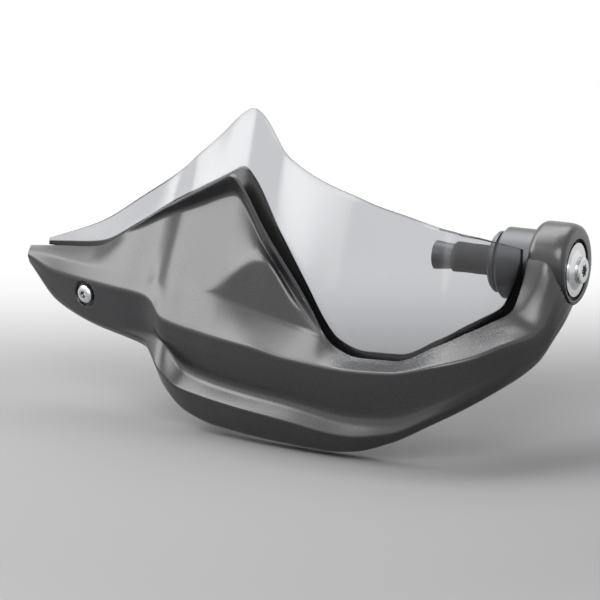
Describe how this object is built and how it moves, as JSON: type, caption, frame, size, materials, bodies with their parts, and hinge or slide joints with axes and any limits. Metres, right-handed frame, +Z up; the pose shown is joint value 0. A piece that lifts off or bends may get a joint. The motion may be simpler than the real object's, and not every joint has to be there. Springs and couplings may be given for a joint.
{
  "type": "motorcycle hand guard",
  "caption": "Left hand guard for a handlebar: dished moulded shell and smoked screen, held by a bar-end screw with expander and by a bracket on a split bar clamp.",
  "frame": {"origin": "centre of the handlebar's open end, where the rubber expander enters it", "axes": "X along the handlebar with +X outward past its end, -Y to the front of the guard, +Z up"},
  "size_m": [0.3436, 0.1219, 0.1822],
  "materials": {
    "shell_plastic": "fine moulded grain",
    "smoke_clear": "smoke tinted clear sheet",
    "black_steel": "black oxide",
    "bright_steel": "bright zinc",
    "black_aluminium": "black anodised",
    "satin_aluminium": "satin turned",
    "black_rubber": "plain"
  },
  "bodies": {
    "root": {"guard_shell": "shell_plastic", "smoked_screen": "smoke_clear", "screen_screws": "black_steel", "screen_washers": "black_steel", "wing_bolt": "bright_steel", "wing_sleeve": "bright_steel", "wing_washer": "bright_steel", "wing_nut": "bright_steel", "mount_bracket": "black_aluminium", "bracket_screws": "bright_steel", "clamp_front": "black_aluminium", "clamp_rear": "black_aluminium", "clamp_screws": "bright_steel", "boss_sleeve": "bright_steel", "bar_end_spacer": "satin_aluminium", "bar_end_screw": "bright_steel", "cone_washer": "bright_steel", "expander_sleeve": "black_rubber", "expander_nut": "satin_aluminium"}
  },
  "joints": []
}
